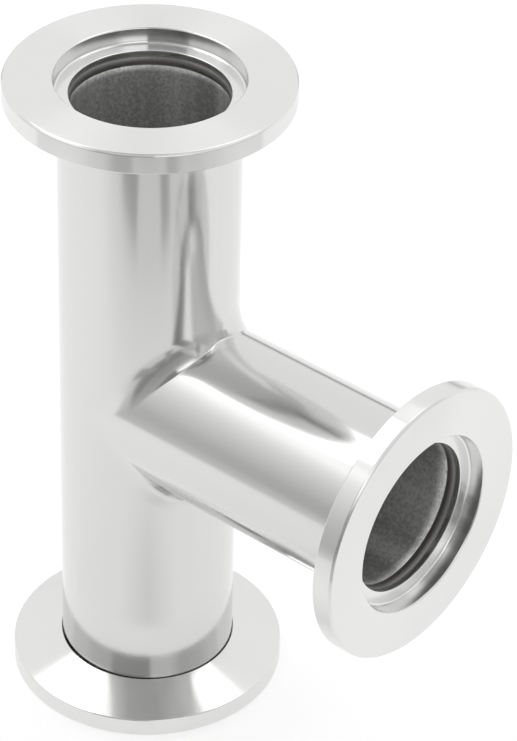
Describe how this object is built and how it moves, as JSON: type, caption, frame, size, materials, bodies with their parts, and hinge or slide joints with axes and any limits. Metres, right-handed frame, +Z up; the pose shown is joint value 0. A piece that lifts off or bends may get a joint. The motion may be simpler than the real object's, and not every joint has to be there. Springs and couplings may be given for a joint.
{
  "type": "vacuum flange tee",
  "caption": "Equal vacuum tee: a formed steel tube with a turned ring flange on each open end, recessed for a centring ring and coned behind for a clamp.",
  "frame": {"origin": "centre of the lower flange's sealing face", "axes": "+Z up the axis of the straight run, +X out along the axis of the branch"},
  "size_m": [0.07, 0.04, 0.1],
  "materials": {
    "satin_tube": "satin polished outside, dull drawn surface inside",
    "turned_flange": "fine turned",
    "weld_bead": "rippled fusion weld"
  },
  "bodies": {
    "root": {"tee_body": "satin_tube", "upper_flange": "turned_flange", "lower_flange": "turned_flange", "branch_flange": "turned_flange", "upper_weld": "weld_bead", "lower_weld": "weld_bead", "branch_weld": "weld_bead"}
  },
  "joints": []
}
